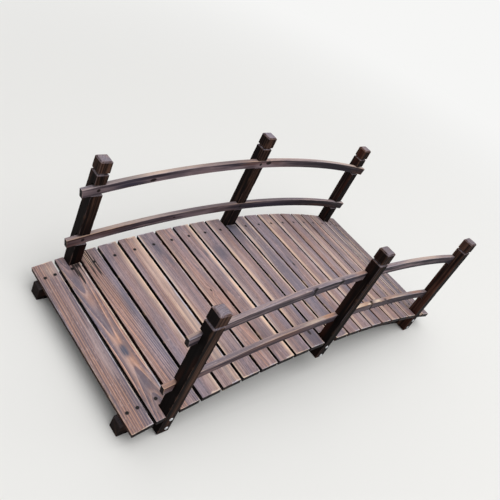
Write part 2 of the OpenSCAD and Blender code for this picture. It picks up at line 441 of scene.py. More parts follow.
# Gives a piece what its timber material reads: the grain's own axes, the way to each face, tint and wear, and
# the painted shade and light of its faces
def markTimber(piece, local, near, far, look, seed, screws=noScrews, extraEdge=farOff, shelter=0, wearAndSheenShare=1,
               knots=noKnots):
    across, depth, along = local.T
    pithAcross, pithDepth = look["pith"]
    leanAcross, leanDepth = look["lean"]
    diveStart, dive = look["dive"]
    bent = look["bow"] * along ** 2 + dive * np.minimum(0, along - diveStart) ** 2
    writeLayer(piece, "fibre", together(across - pithAcross - leanAcross * along,
                                        depth - pithDepth - leanDepth * along - bent, along + seed * 3.7))
    writeLayer(piece, "nearFace", near)
    writeLayer(piece, "farFace", far)
    toEnd, toRight = along / np.abs(along).max(), across / np.abs(across).max()
    light, lightToEnd, lightToRight = look["light"]
    warm, warmToRight = look["warm"]
    writeLayer(piece, "tone", together(light + lightToEnd * toEnd + lightToRight * toRight,
                                       warm + warmToRight * toRight, look["figure"]))
    leftWearAndSheen, rightWearAndSheen = look["wear"]
    writeLayer(piece, "edges", together(rightWearAndSheen * wearAndSheenShare, leftWearAndSheen * wearAndSheenShare, look["rings"]))
    for kind in ("blue", "cream", "amber", "dark", "rub", "checks"):
        strength = np.zeros(len(along))
        for spotAcross, spotAlong, wide, long, amount, *level in look.get(kind, ()):
            away = np.abs((across - spotAcross) / wide) ** 2.6 + np.abs((along - spotAlong) / long) ** 3
            if level:
                away += np.abs((depth - level[0]) / level[1]) ** 3
            strength = np.maximum(strength, amount * np.exp(-away))
        writeLayer(piece, kind, strength)
    if "knot" in look:
        knotAcross, knotAlong, knotRadius = look["knot"]
        knots = together(across - knotAcross, along - knotAlong, knotRadius)
    for name, values in (("knot", knots), ("screws", screws), ("extraEdge", extraEdge), ("shelter", shelter),
                         ("wander", look["wander"])):
        writeLayer(piece, name, values)


def finishPiece(piece, material, slotName, *nodes):
    piece.data.materials.clear()
    piece.data.materials.append(material)
    piece.data.shade_smooth()
    piece.data.set_sharp_from_angle(angle=math.radians(sharpAngle))
    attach(piece, "root")
    if nodes:
        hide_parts(*nodes)


# A node's output, with the sums that materials are made of
class Wire:
    def __init__(self, nodes, socket):
        self.nodes = nodes
        self.socket = socket

    def __add__(self, value):
        return self.nodes.calc("ADD", self, value)

    def __sub__(self, value):
        return self.nodes.calc("SUBTRACT", self, value)

    def __rsub__(self, value):
        return self.nodes.calc("SUBTRACT", value, self)

    def __mul__(self, value):
        return self.nodes.calc("MULTIPLY", self, value)

    def __truediv__(self, value):
        return self.nodes.calc("DIVIDE", self, value)

    def __pow__(self, value):
        return self.nodes.calc("POWER", self, value)

    def least(self, value):
        return self.nodes.calc("MINIMUM", self, value)

    def most(self, value):
        return self.nodes.calc("MAXIMUM", self, value)

    # Kept from 0 to 1
    def held(self):
        self.socket.node.use_clamp = True
        return self

    def other(self, output):
        return Wire(self.nodes, self.socket.node.outputs[output])


# A node tree, with short ways to add to it
class Nodes:
    def __init__(self, tree):
        self.tree = tree
        tree.nodes.clear()

    def add(self, kind, inputs=(), out=0, **fields):
        node = self.tree.nodes.new(kind)
        for field, value in fields.items():
            setattr(node, field, value)
        for name, value in dict(inputs).items():
            if isinstance(value, Wire):
                self.tree.links.new(value.socket, node.inputs[name])
            else:
                node.inputs[name].default_value = value
        return Wire(self, node.outputs[out]) if len(node.outputs) else node

    def calc(self, operation, *values):
        return self.add("ShaderNodeMath", dict(enumerate(values)), operation=operation)

    def vector(self, operation, *values):
        out = "Value" if operation == "LENGTH" else "Vector"
        return self.add("ShaderNodeVectorMath", dict(enumerate(values)), out, operation=operation)

    def scaled(self, vector, by):
        return self.add("ShaderNodeVectorMath", {0: vector, "Scale": by}, operation="SCALE")

    def split(self, vector):
        first = self.add("ShaderNodeSeparateXYZ", {0: vector})
        return [first.other(k) for k in range(3)]

    def read(self, name, out="Fac"):
        return self.add("ShaderNodeAttribute", out=out, attribute_name=name)

    def remap(self, value, low, high, outLow=0, outHigh=1, kind="SMOOTHSTEP"):
        return self.add("ShaderNodeMapRange", dict(enumerate((value, low, high, outLow, outHigh))),
                        interpolation_type=kind)

    def straight(self, value, low, high, outLow, outHigh):
        return self.remap(value, low, high, outLow, outHigh, "LINEAR")

    def mix(self, factor, first, second, mode="MIX"):
        return self.add("ShaderNodeMix", {0: factor, 6: first, 7: second}, 2,
                        data_type="RGBA", blend_type=mode)

    def noise(self, vector, scale, detail=2, roughness=0.5):
        return self.add("ShaderNodeTexNoise", {"Vector": self.vector("MULTIPLY", vector, scale), "Scale": 1,
                                               "Detail": detail, "Roughness": roughness})

    def ramp(self, factor, stops):
        made = self.add("ShaderNodeValToRGB", {0: factor})
        elements = made.socket.node.color_ramp.elements
        while len(elements) < len(stops):
            elements.new(0.5)
        for element, (position, color) in zip(elements, stops):
            element.position = position
            element.color = screenColor(*color)
        return made

    def bump(self, height, strength, distance):
        return self.add("ShaderNodeBump", {"Strength": strength, "Distance": distance, "Height": height})

    def paint(self, **inputs):
        named = {name.replace("_", " "): value for name, value in inputs.items()}
        self.add("ShaderNodeOutputMaterial", {"Surface": self.add("ShaderNodeBsdfPrincipled", named)})


def newMaterial(name):
    material = bpy.data.materials.new(name)
    material.use_nodes = True
    return material, Nodes(material.node_tree)


# The patterns in the wood: waves a metre across and along the grain, detail and roughness
grain = {
    "wander": (0, 1.9, 1, 0.5),
    "swirl": (15, 3.4, 2, 0.5),
    "ripple": (110, 14, 1, 0.5),
    "blotch": (26, 2.6, 2, 0.6),
    "streak": (430, 7, 2, 0.6),
    "band": (95, 3, 2, 0.5),
    "cloud": (11, 5, 3, 0.6),
    "zone": (52, 3.2, 2, 0.55),
    "speck": (360, 70, 1, 0.5),
    "pore": (390, 60, 1, 0.5),
    "breakup": (60, 16, 3, 0.65),
    "check": (175, 2.2, 1, 0.4),
    "end check": (115, 2.2, 1, 0.4),
}
wood = {
    "ripple": 0.0009,
    "check color": (22, 16, 17),
    "screw halo": (34, 26, 30),
    "screw hole": (11, 9, 11),
    "halo reach": (0.0078, 0.0042),    # off a screw's middle: none at the first, all at the second
    "hole reach": (0.0053, 0.0045),
    "end grain reach": (0.0016, 0.0004),    # the same off the end of a stick
    "bump distance": 0.0006,
}


# Weathered, stained softwood. Its rings are true cylinders round the pith, so faces, sides and ends agree.
def timberMaterial(name, look):
    material, t = newMaterial(name)
    fibre = t.read("fibre", "Vector")
    light, warm, figure = t.split(t.read("tone", "Vector"))
    rightWearAndSheen, leftWearAndSheen, ringWide = t.split(t.read("edges", "Vector"))
    nearSide, nearTop, nearEnd = t.split(t.read("nearFace", "Vector"))
    farSide, farTop, farEnd = t.split(t.read("farFace", "Vector"))
    knotAcross, knotAlong, knotRadius = t.split(t.read("knot", "Vector"))
    screwA, screwB, screwAlong = t.split(t.read("screws", "Vector"))
    blue, cream, amber, darkMark = map(t.read, ("blue", "cream", "amber", "dark"))
    rubMark, checked, shelter, wandering = map(t.read, ("rub", "checks", "shelter", "wander"))
    bare, extraEdge = map(t.read, ("bare", "extraEdge"))
    facingUp = t.split(t.add("ShaderNodeNewGeometry", out="Normal"))[2]

    def pattern(name, on=fibre):
        across, along, detail, roughness = grain[name]
        return t.noise(on, (across, across, along), detail, roughness)

    def push(name, by):
        shift = t.vector("SUBTRACT", pattern(name).other("Color"), (0.5, 0.5, 0.5))
        return t.vector("MULTIPLY", shift, (by, by, 0))

    def coat(under, share, color):
        return t.mix(share, under, screenColor(*look.get(color, wood.get(color))))

    # Rings round the wandering pith, pushed aside by the knot
    pushes = t.vector("ADD", push("swirl", look["swirl"]), push("ripple", wood["ripple"]))
    pushes = t.vector("ADD", push("wander", look["wander"]), pushes)
    shifted = t.vector("ADD", fibre, t.scaled(pushes, wandering))
    radius = t.vector("LENGTH", t.vector("MULTIPLY", shifted, (1, 1, 0)))
    knotShare = t.calc("SQRT", knotAcross ** 2 + (knotAlong * 0.5) ** 2) / knotRadius
    radius = radius + t.calc("EXPONENT", knotShare ** 2 * -0.16) * (knotRadius * 1.9)
    spread = t.add("ShaderNodeTexNoise", {"W": radius * 70, "Scale": 1, "Detail": 1}, noise_dimensions="1D")
    rings = radius / ringWide + spread * (wandering * 1.7)
    ringShare = t.calc("FRACT", rings)
    ringTint = t.add("ShaderNodeTexWhiteNoise", {"W": t.calc("FLOOR", rings)}, "Value", noise_dimensions="1D")

    # Colour of the faded, rained-on faces
    strength = figure * t.straight(ringTint, 0, 1, 0.35, 1.1)
    ringColor = t.ramp(ringShare, look["ring colors"])
    figured = t.mix(strength.least(1), screenColor(*look["mean color"]), ringColor)
    blotch = pattern("blotch")
    warmth = warm * 0.5 + (blotch - 0.5) * 2.2 + (ringShare - 0.45) * (strength * 0.45)
    gain = t.mix((warmth + 0.5).held(), look["cool gain"], look["warm gain"])
    figured = t.mix(1, figured, gain, "MULTIPLY")
    streak, band, cloud, zone = map(pattern, ("streak", "band", "cloud", "zone"))
    lightness = t.straight(streak, 0.25, 0.75, 0.8, 1.2) * t.straight(band, 0.25, 0.75, 0.86, 1.14)
    faded = t.scaled(figured, lightness * t.straight(cloud, 0.3, 0.7, 0.92, 1.08) * light)
    faded = coat(faded, t.remap(zone, 0.52, 0.68) * look["zones"], "pale zone")
    faded = coat(faded, t.remap(zone, 0.48, 0.32) * look["zones"], "blue zone")
    faded = coat(faded, t.remap(pattern("speck"), 0.6, 0.74) * 0.4, "speck color")
    faded = coat(faded, t.remap(pattern("pore"), 0.42, 0.28) * 0.4, "pore color")
    ragged = t.remap(cloud, 0.3, 0.52, 0.65, 1) * t.straight(streak + band * 0.6, 0.62, 0.98, 0.5, 1.2)
    for mark, share, color in ((blue, 0.85, "patch color"), (amber, 0.85, "amber color"),
                               (cream, 0.9, "cream color"), (darkMark, 0.9, "end color")):
        faded = coat(faded, (mark * ragged * share).held(), color)

    # Dark stain that is left on the sheltered sides, made near black as painted shade, with lengthwise
    # streaks rubbed into it
    rub = t.noise(fibre, look["rub size"], 3, 0.62)
    rubbed = t.remap(rub + shelter * -0.12, look["rub low"], look["rub high"])
    rubbed = (rubbed * t.remap(cloud, 0.35, 0.62, 0.35, 1) + rubMark * ragged).held()
    dark = coat(screenColor(*look["stain and shade color"]), rubbed, "rubbed color")
    dark = coat(dark, t.remap(blotch + warm * 0.15, 0.52, 0.72) * 0.55, "red color")
    # Painted shade and light: the shelter number darkens the dark stain on some faces and lightens it on
    # others
    dark = t.scaled(dark, t.straight(streak, 0.25, 0.75, 0.7, 1.3) * (light * (1 - shelter * 0.35)))
    dark = coat(dark, (blue * ragged * 0.8).held(), "face patch")
    # Upward faces take the faded colour and the rest the dark stain: real fading of the tops, with painted
    # light on tops and upward bevels and painted shade on the sides
    fadedAndLit = t.remap(facingUp + (band - 0.5) * 0.5, look["sky low"], look["sky high"])
    color = t.mix(fadedAndLit, dark, faded)
    color = coat(color, t.remap(darkMark, 0.6, 0.95) * 0.9, "end color")
    endWay = nearEnd.least(farEnd)
    endGrain = t.remap(endWay, *wood["end grain reach"]) * look["end stain"] * t.remap(facingUp, 0.75, 0.4)
    color = coat(color, endGrain, "end color")

    # Distance to the nearest arris: the second smallest of the distances to the faces
    sideWay, topWay = nearSide.least(farSide), nearTop.least(farTop)
    largest = sideWay.most(topWay).least(endWay.most(extraEdge))
    arrisWay = sideWay.least(topWay).most(endWay.least(extraEdge)).least(largest)
    # Worn pale arrises, partly painted sheen: the sky's grazing glint on the rounded edges is painted in here
    # too
    onRight = t.remap(farSide - nearSide, -0.004, 0.004)
    sideWearAndSheen = t.add("ShaderNodeMix", {0: onRight, 2: leftWearAndSheen, 3: rightWearAndSheen}, data_type="FLOAT")
    reach = sideWearAndSheen * t.straight(pattern("breakup"), 0.3, 0.7, 0.25, 1.4) * look["wear and sheen reach"]
    worn = t.remap((1 - arrisWay / (reach + 0.00015)).held(), 0, 0.75)
    worn = worn * t.remap(facingUp, look["wear and sheen down"], look["wear and sheen down"] + 0.35) * look["wear and sheen strength"]
    worn = worn * (1 - endGrain * 0.85) * t.remap(darkMark, 0.15, 0.7, 1, 0.2)
    wornAndSheenColor = coat(screenColor(*look["worn and sheen cool"]), t.remap(blotch, 0.38, 0.6), "worn warm")
    color = t.mix(worn, color, wornAndSheenColor)
    chip = bare * t.remap(streak, 0.3, 0.6, 0.5, 1)
    color = coat(color, chip * look["chip strength"], "chip color")

    # Knot, drying checks and the dark ring round each screw
    darkest, palest = look["knot colors"]
    coreColor = t.ramp(t.calc("FRACT", knotShare * 3.4), ((0, darkest), (0.6, palest), (1, darkest)))
    color = t.mix(t.remap(knotShare, 1.1, 0.7) * 0.95, color, coreColor)
    checkDeep = t.remap(pattern("check"), 0.735, 0.79) * t.remap(band, 0.45, 0.6)
    besideEdge = t.add("ShaderNodeCombineXYZ", {0: nearSide, 2: nearEnd})
    fromLine = t.calc("ABSOLUTE", pattern("end check", besideEdge) - 0.5)
    checkDeep = checkDeep.most(t.remap(checked * 0.085 - fromLine, 0, 0.03))
    color = coat(color, checkDeep * 0.92, "check color")
    screwWay, otherWay = (t.calc("SQRT", way ** 2 + screwAlong ** 2) for way in (screwA, screwB))
    screwWay = screwWay.least(otherWay)
    color = coat(color, t.remap(screwWay, *wood["halo reach"]) * 0.7, "screw halo")
    color = coat(color, t.remap(screwWay, *wood["hole reach"]) * 0.95, "screw hole")

    # Relief: soft rings, raised fibres and open checks
    relief = t.remap(ringShare, 0.55, 0.95) * 0.28 + streak * 0.5 + band * 0.35 - checkDeep * 0.9
    rough = t.remap(band, 0.25, 0.75, look["rough low"], look["rough high"]) + worn * 0.08
    t.paint(Specular_IOR_Level=t.straight(fadedAndLit * (1 - endGrain), 0, 1, 0.3, 1) * look["gloss"],
            Base_Color=color, Roughness=rough, Normal=t.bump(relief, look["bump"], wood["bump distance"]))
    return material


deckFinish = {
    "wander": 0.012, "swirl": 0.0036, "ring colors": ((0, (98, 86, 96)), (0.42, (134, 116, 120)), (0.76,
    (168, 138, 130)), (0.9, (206, 176, 166)), (0.97, (154, 133, 137)), (1, (98, 86, 96))),
    "mean color": (150, 130, 134), "pore color": (92, 78, 84), "cool gain": (0.87, 0.99, 1.16, 1),
    "warm gain": (1.18, 0.99, 0.82, 1), "zones": 0.5, "pale zone": (198, 172, 168),
    "blue zone": (112, 106, 118), "speck color": (208, 184, 182), "end stain": 0.85,
    "end color": (20, 15, 19), "knot colors": ((24, 18, 19), (54, 39, 37)), "face patch": (20, 18, 24),
    "patch color": (90, 90, 106), "cream color": (243, 209, 184), "amber color": (176, 130, 106),
    "stain and shade color": (15, 11, 14), "rubbed color": (88, 62, 56), "red color": (60, 34, 28), "rub low": 0.56,
    "rub high": 0.85, "rub size": (150, 150, 4.5), "sky low": 0.62, "sky high": 0.92, "wear and sheen reach": 0.008,
    "wear and sheen down": 0.35, "wear and sheen strength": 0.95, "worn and sheen cool": (204, 196, 204), "worn warm": (238, 210, 188),
    "chip color": (206, 172, 146), "chip strength": 0.6, "bump": 0.5, "rough low": 0.55, "rough high": 0.74,
    "gloss": 0.35,
}

frameFinish = {
    "wander": 0.01, "swirl": 0.003, "ring colors": ((0, (104, 96, 104)), (0.5, (128, 118, 124)), (0.85,
    (156, 142, 146)), (0.95, (176, 162, 166)), (1, (108, 100, 108))), "mean color": (138, 128, 136),
    "pore color": (88, 80, 88), "cool gain": (0.96, 1, 1.08, 1), "warm gain": (1.06, 0.99, 0.93, 1),
    "zones": 0.3, "pale zone": (172, 158, 164), "blue zone": (102, 100, 112), "speck color": (184, 170, 176),
    "end stain": 0, "end color": (26, 20, 20), "knot colors": ((12, 9, 10), (34, 24, 23)),
    "face patch": (36, 34, 40), "patch color": (110, 112, 128), "cream color": (196, 180, 182),
    "amber color": (150, 110, 88), "stain and shade color": (16, 11, 11), "rubbed color": (82, 59, 49),
    "red color": (68, 35, 26), "rub low": 0.46, "rub high": 0.74, "rub size": (130, 130, 4), "sky low": 0.62,
    "sky high": 0.92, "wear and sheen reach": 0.003, "wear and sheen down": -0.45, "wear and sheen strength": 0.5,
    "worn and sheen cool": (138, 122, 128), "worn warm": (140, 110, 98), "chip color": (112, 82, 66),
    "chip strength": 0.3, "bump": 0.55, "rough low": 0.66, "rough high": 0.82, "gloss": 0.18,
}

railFinish = {
    "wander": 0.008, "swirl": 0.0028, "ring colors": ((0, (120, 108, 114)), (0.45, (142, 126, 130)), (0.8,
    (168, 146, 142)), (0.93, (196, 172, 164)), (1, (124, 112, 118))), "mean color": (150, 134, 138),
    "pore color": (92, 80, 86), "zones": 0.5, "pale zone": (206, 180, 166), "blue zone": (104, 98, 110),
    "speck color": (196, 176, 174), "end stain": 0.97, "end color": (13, 10, 11), "knot colors": ((12, 9, 10),
    (34, 24, 23)), "cool gain": (0.95, 1, 1.08, 1), "warm gain": (1.1, 0.99, 0.88, 1),
    "face patch": (56, 53, 68), "patch color": (92, 88, 104), "cream color": (244, 220, 192),
    "amber color": (204, 146, 108), "stain and shade color": (49, 43, 51), "rubbed color": (131, 114, 118),
    "red color": (98, 64, 54), "rub low": 0.4, "rub high": 0.64, "rub size": (75, 75, 3.6), "sky low": 0.45,
    "sky high": 0.8, "wear and sheen reach": 0.004, "wear and sheen down": -0.4, "wear and sheen strength": 0.6,
    "worn and sheen cool": (178, 166, 174), "worn warm": (218, 182, 154), "chip color": (204, 168, 138),
    "chip strength": 0.6, "bump": 0.5, "rough low": 0.56, "rough high": 0.76, "gloss": 0.3,
}

deckTimber = timberMaterial("deckTimber", deckFinish)
frameTimber = timberMaterial("frameTimber", frameFinish)
railTimber = timberMaterial("railTimber", railFinish)


# Bright zinc with a faint crystal pattern, and rain marks in it
def zincMaterial():
    material, t = newMaterial("brightZinc")
    place = t.add("ShaderNodeTexCoord", out="Object")
    crystals = t.add("ShaderNodeTexVoronoi", {"Vector": place, "Scale": 900}, "Distance")
    marks = t.noise(place, (260, 260, 140), 3, 0.6)
    color = t.mix(t.remap(crystals, 0.1, 0.8), screenColor(214, 216, 220), screenColor(190, 193, 198))
    color = t.mix(t.remap(marks, 0.56, 0.72), color, screenColor(142, 138, 134))
    t.paint(Metallic=1, Base_Color=color, Roughness=t.remap(marks, 0.3, 0.7, 0.26, 0.5),
            Normal=t.bump(marks, 0.25, 0.0002))
    return material


def screwMaterial():
    material, t = newMaterial("darkScrew")
    place = t.add("ShaderNodeTexCoord", out="Object")
    marks = t.noise(place, (700, 700, 700), 3, 0.6)
    rust = t.remap(t.noise(place, (120, 120, 120)), 0.5, 0.66)
    t.paint(Metallic=0.25, Specular_IOR_Level=0.3,
            Base_Color=t.mix(rust, screenColor(17, 15, 17), screenColor(38, 26, 22)),
            Roughness=t.remap(marks, 0.3, 0.7, 0.45, 0.7), Normal=t.bump(marks, 0.3, 0.0002))
    return material


brightZinc = zincMaterial()
darkScrew = screwMaterial()
print("materials made")


# A board's own axes, middle and half sizes, read from its CAD node
def plankOf(node):
    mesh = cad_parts[node].data
    upper = [face for face in mesh.polygons if face.normal.z > 0.85]
    up = max(upper, key=lambda face: face.area).normal.copy()
    axes = np.array([(up.z, 0, -up.x), up, (0, 1, 0)])
    local = np.array([vertex.co for vertex in mesh.vertices], float) @ axes.T
    low, high = local.min(0), local.max(0)
    return axes, (low + high) / 2, (high - low) / 2


def makeBoard(number):
    node = f"deck_board_{number:02d}"
    axes, middle, half = plankOf(node)
    up = axes[1]
    seed = number * 17
    along, inset = stationsFor(-half[2], half[2], deck["step along"], deck["end round"])
    worn, plain = deck["walked arris"], deck["arris"]
    corners, chipped = wornCorners(seed, along, (worn, plain * 1.1, plain * 0.7, plain * 0.7), 7)

    def dip(section, place, facing):
        across = section[:, :, 0] / half[0]
        top = np.clip(facing[:, 1], 0, 1)
        cup = deck["cupping"] * (1 - across ** 2) * (0.6 + 0.4 * softNoise(seed + 3, place * 3, 0.5))
        swell = deck["ripple"] * (1 + softNoise(seed + 5, place * 28, across * 1.6 + 7))
        wave = deck["ripple"] * 1.2 * (1 + softNoise(seed + 6, place * 14, np.sign(section[:, :, 0]) * 4 + 9))
        return top * (cup + swell) * 0.9 + np.abs(facing[:, 0]) * wave * (1 - top)

    def place(u, v, s):
        return together(u + middle[0], v + middle[1], s + middle[2]) @ axes

    piece = loftTimber(f"board_{number:02d}", along, inset, half[0], half[1], corners, chipped,
                       (3, int(2 * half[0] / deck["step across"]), 5), dip, place)
    pair = deck["end board screws"]
    screwPlaces = {1: pair, deck["count"]: (-pair[0], -pair[1]), deck["short board"]: ()}.get(number, (0,))
    fromMiddle = {-1: deck["near screws"], 1: deck["far screws"]}
    first, done, last = deck["boards behind rail"]
    if first <= number <= last:
        fromMiddle[-1] = np.interp(number, (first, done), deck["near screws behind rail"])
    hole, deep, over = deck["screw hole"], deck["screw hole depth"], deck["cutter over top"]
    cutters = []
    for shift in screwPlaces:
        for side in (-1, 1):
            onTop = (np.array([shift, half[1], side * fromMiddle[side]]) + middle) @ axes
            cutters.append({"middle": onTop - up * (deep - over) / 2, "axis": up,
                            "bottom": hole * 0.8, "top": hole * 1.1, "high": deep + over})
            screwSpots.append((onTop - up * deck["screw sunk"], up))
    notched = number in (2, deck["count"] - 1)
    if notched:
        postLow, postHigh = boxOf("post_near_left" if number == 2 else "post_near_right")
        postX = (postLow[0] + postHigh[0]) / 2
        wide, inner = deck["notch wide"] / 2, deck["notch from middle"]
        for side in (-1, 1):
            lowY, highY = sorted((side * inner, side * 0.4))
            cutters.append({"box": ((postX - wide, lowY, 0), (postX + wide, highY, 0.3))})
    if cutters:
        cutAway(piece, cutters)
    points = pointsOf(piece)
    edge, screws = farOff, noScrews
    if notched:
        edge = np.abs(np.maximum(np.abs(points[:, 0] - postX) - wide, inner - np.abs(points[:, 1]))) + 0.004
    local = points @ axes.T - middle
    far = half + local
    if screwPlaces:
        reach = np.where(local[:, 2] > 0, fromMiddle[1], fromMiddle[-1])
        screws = together(local[:, 0] - screwPlaces[0], local[:, 0] - screwPlaces[-1],
                          np.abs(local[:, 2]) - reach)
    # Painted light on the left side faces, handed on as a negative shelter number
    paintedLitSides = deck["lit left sides"] * softStep(number, *deck["lit-side boards"]) * (far[:, 0] < 0.003)
    look = dict(plainBoard, **boardLooks[number])
    markTimber(piece, local, half - local, far, look, number, screws, edge, -paintedLitSides)
    finishPiece(piece, deckTimber, "deck_wood", node)


screwSpots = []
for number in range(1, deck["count"] + 1):
    makeBoard(number)
print("deck boards laid:", deck["count"])


underRadius = arch["stringer top radius"] - arch["stringer depth"]


def stringerTop(x):
    return arch["stringer center z"] + np.sqrt(arch["stringer top radius"] ** 2 - x ** 2)


def stringerUnder(x):
    return np.maximum(0, arch["stringer center z"] + np.sqrt(underRadius ** 2 - x ** 2))


def makeStringer(node, seed):
    low, high = boxOf(node)
    middleY, halfThick = (low[1] + high[1]) / 2, (high[1] - low[1]) / 2
    footStart = math.sqrt(underRadius ** 2 - arch["stringer center z"] ** 2)
    along, inset = stationsFor(low[0], high[0], stringers["step along"], stringers["end round"],
                               (-footStart, footStart))
    halfHigh = (stringerTop(along) - stringerUnder(along)) / 2
    corners, chipped = wornCorners(seed, along, (stringers["arris"],) * 4, 6)

    def dip(section, place, facing):
        swell = stringers["ripple"] * (1 + softNoise(seed + 4, place * 16, section[:, :, 1] * 30 + 5))
        return swell * 0.6 * np.abs(facing[:, 0]) + 0.00005

    def place(u, v, s):
        return together(s, u + middleY, (stringerTop(s) + stringerUnder(s)) / 2 + v)

    piece = loftTimber(node + "_beam", along, inset, halfThick, halfHigh, corners, chipped,
                       (3, int(2 * halfThick / stringers["step round"]), 12), dip, place)
    x, y, z = pointsOf(piece).T
    markTimber(piece, together(y - middleY, z - stringers["grain middle"], x),
               together(high[1] - y, stringerTop(x) - z, high[0] - x),
               together(y - low[1], z - stringerUnder(x), x - low[0]),
               dict(plainBoard, **stringerLook), seed)
    finishPiece(piece, frameTimber, "frame_wood", node)


stringerLook = dict(pith=(0.05, -0.06), rings=0.0052, light=(0.8, 0, 0), figure=0.7, wear=(0.4, 0.4),
                    dark=((0, -0.76, 0.1, 0.035, 0.9), (0, 0.76, 0.1, 0.035, 0.9)))
makeStringer("stringer_near", 31)
makeStringer("stringer_far", 32)
print("stringers sawn")


def railArc(apex, radius, x):
    return apex - arch["rail radius"] + math.sqrt(radius ** 2 - x ** 2)


def deckTop(x):
    return arch["stringer center z"] + math.sqrt(arch["deck radius"] ** 2 - x * x)


# shelter sets the stain left on the left, outer, right and inner face, from -1 rubbed off to 1 untouched; it
# is partly real stain and partly painted shade, and painted light below 0
postLooks = {
    "post_near_left": dict(pith=(0.01, -0.055), lean=(0.006, 0.01), rings=0.0046, shelter=(1.2, 0, 0, 0),
        light=(1, 0, 0), warm=(-0.6, 0), headTopDarkening=0.12, bolts=(0.006, 0.031, 0.073),
        cream=((-0.0185, 0.2405, 0.003, 0.004, 0.75),),
        dark=((-0.0135, 0.242, 0.0018, 0.004, 0.9, -0.004, 0.008),), rub=((0.0035, -0.03, 0.0045, 0.2, 0.8),
        (-0.005, -0.02, 0.002, 0.16, 0.6))),
    "post_near_middle": dict(pith=(-0.04, -0.03), lean=(0.004, 0), rings=0.0042, shelter=(0.6, 0.9, 0, 0),
        light=(1, 0, 0), warm=(0.1, 0), headTopDarkening=0.25, bolts=(0.004, 0.037, 0.08),
        rub=((-0.0085, 0.06, 0.0035, 0.2, 1), (0.004, 0.1, 0.0015, 0.12, 0.7))),
    "post_near_right": dict(pith=(0.03, 0.04), lean=(0.008, 0), rings=0.0048, shelter=(-0.8, 0.9, 0, 0),
        light=(1, 0, 0), warm=(0.4, 0), headTopDarkening=0.4),
    "post_far_left": dict(pith=(0.045, -0.02), lean=(0, 0.008), rings=0.0044, shelter=(0.5, -0.5, 0, -0.35),
        warm=(0.4, 0), paintedRailShadow=1.6),
    "post_far_middle": dict(pith=(-0.03, -0.04), lean=(0.004, 0.004), rings=0.0046, shelter=(0, -0.3, 0, 0),
        warm=(-1.1, 0), light=(1.08, 0, 0), paintedRailShadow=0.4),
    "post_far_right": dict(pith=(0.05, -0.035), lean=(0.003, 0.006), rings=0.0042,
        shelter=(-0.2, 0.2, 0, 0.5), warm=(0, 0), paintedRailShadow=1),
}


